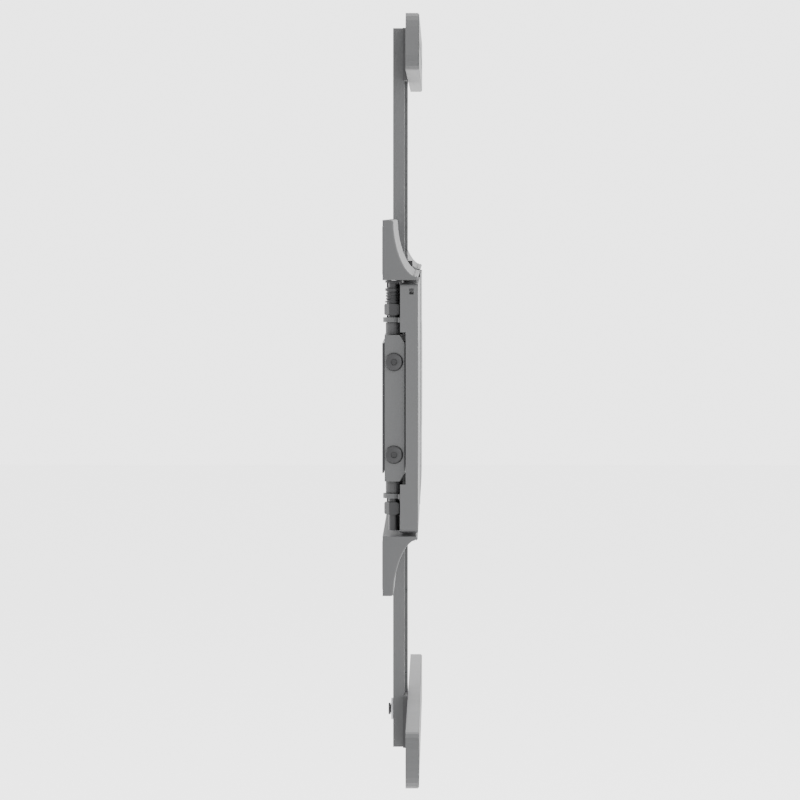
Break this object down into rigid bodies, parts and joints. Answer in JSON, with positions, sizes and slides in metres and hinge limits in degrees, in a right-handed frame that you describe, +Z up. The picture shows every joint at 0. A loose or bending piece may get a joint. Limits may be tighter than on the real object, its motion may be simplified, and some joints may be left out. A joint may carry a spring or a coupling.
{
  "type": "full motion tv wall mount",
  "caption": "Slim full motion television wall mount with two folding scissor arms, a swivel and tilt head, a vertical spine and wide slotted screen arms.",
  "frame": {"origin": "centre of the wall plates' back faces, on the wall", "axes": "+X along the wall, +Y into the wall, +Z up; the mount stands out towards -Y"},
  "size_m": [0.544, 0.0197, 0.4316],
  "materials": {
    "charcoal_coat": "satin charcoal powder coat",
    "cover_plastic": "fine textured moulded plastic",
    "black_steel": "black oxide",
    "black_plastic": "black nylon",
    "zinc": "zinc plated"
  },
  "bodies": {
    "wall_unit": {"left_wall_plate": "black_steel", "right_wall_plate": "black_steel", "tie_plate": "black_steel", "left_wall_pin": "zinc", "right_wall_pin": "zinc", "upper_left_cover": "cover_plastic", "lower_left_cover": "cover_plastic", "upper_right_cover": "cover_plastic", "lower_right_cover": "cover_plastic"},
    "left_inner": {"left_inner_arm": "charcoal_coat", "left_pivot_bush": "black_plastic", "left_elbow_cap": "charcoal_coat", "left_elbow_bolt": "black_steel", "left_elbow_springs": "black_steel", "upper_left_cap_screw": "black_steel", "lower_left_cap_screw": "black_steel", "upper_left_elbow_tube": "black_plastic", "lower_left_elbow_tube": "black_plastic", "upper_left_elbow_nut": "black_steel", "lower_left_elbow_nut": "black_steel"},
    "left_outer": {"left_outer_arm": "charcoal_coat"},
    "right_inner": {"right_inner_arm": "charcoal_coat", "right_pivot_bush": "black_plastic", "right_elbow_cap": "charcoal_coat", "right_elbow_bolt": "black_steel", "right_elbow_springs": "black_steel", "upper_right_cap_screw": "black_steel", "lower_right_cap_screw": "black_steel", "upper_right_elbow_tube": "black_plastic", "lower_right_elbow_tube": "black_plastic", "upper_right_elbow_nut": "black_steel", "lower_right_elbow_nut": "black_steel"},
    "right_outer": {"right_outer_arm": "charcoal_coat"},
    "head": {"head_yoke": "black_steel", "swivel_pin": "zinc", "upper_left_head_pin": "zinc", "lower_left_head_pin": "zinc", "upper_right_head_pin": "zinc", "lower_right_head_pin": "zinc"},
    "swivel": {"swivel_block": "black_steel"},
    "tv_bracket": {"centre_bracket": "black_steel", "tilt_pin": "zinc", "tilt_nut": "zinc", "upper_spine": "charcoal_coat", "lower_spine": "charcoal_coat", "upper_bracket_screw": "black_steel", "lower_bracket_screw": "black_steel"},
    "upper_arm": {"upper_tv_arm": "charcoal_coat", "upper_right_saddle": "black_plastic", "upper_left_saddle": "black_plastic", "upper_clamp_bolt": "black_steel", "upper_clamp_nut": "zinc"},
    "lower_arm": {"lower_tv_arm": "charcoal_coat", "lower_right_saddle": "black_plastic", "lower_left_saddle": "black_plastic", "lower_clamp_bolt": "black_steel", "lower_lock_boss": "zinc"},
    "knob": {"lock_knob": "black_plastic"}
  },
  "joints": [
    {"name": "extend", "type": "hinge", "parent": "wall_unit", "child": "left_inner", "pos_m": [-0.05, -0.0064, 0], "axis": [0, 0, 1], "range_deg": [0, 70]},
    {"name": "left_elbow", "type": "hinge", "parent": "left_inner", "child": "left_outer", "pos_m": [-0.261, -0.0064, 0], "axis": [0, 0, 1], "range_deg": [-140, 0]},
    {"name": "head_level", "type": "hinge", "parent": "left_outer", "child": "head", "pos_m": [-0.05, -0.0064, 0], "axis": [0, 0, 1], "range_deg": [0, 70]},
    {"name": "right_shoulder", "type": "hinge", "parent": "wall_unit", "child": "right_inner", "pos_m": [0.05, -0.0064, 0], "axis": [0, 0, 1], "range_deg": [-70, 0]},
    {"name": "right_elbow", "type": "hinge", "parent": "right_inner", "child": "right_outer", "pos_m": [0.261, -0.0064, 0], "axis": [0, 0, 1], "range_deg": [0, 140]},
    {"name": "swivel", "type": "hinge", "parent": "head", "child": "swivel", "pos_m": [0, -0.008, 0], "axis": [0, 0, 1], "range_deg": [-30, 30]},
    {"name": "tilt", "type": "hinge", "parent": "swivel", "child": "tv_bracket", "pos_m": [0, -0.014, 0], "axis": [1, 0, 0], "range_deg": [-3, 10]},
    {"name": "upper_arm_height", "type": "slide", "parent": "tv_bracket", "child": "upper_arm", "axis": [0, 0, 1], "range_m": [-0.05, 0]},
    {"name": "lower_arm_height", "type": "slide", "parent": "tv_bracket", "child": "lower_arm", "axis": [0, 0, 1], "range_m": [0, 0.05]},
    {"name": "knob_turn", "type": "hinge", "parent": "lower_arm", "child": "knob", "pos_m": [0, 0, -0.1955], "axis": [0, 1, 0], "range_deg": [-180, 180]}
  ],
  "couplings": [
    {"joint": "left_elbow", "follows": "extend", "ratio": -2},
    {"joint": "head_level", "follows": "extend", "ratio": 1},
    {"joint": "right_shoulder", "follows": "extend", "ratio": -1},
    {"joint": "right_elbow", "follows": "extend", "ratio": 2}
  ]
}
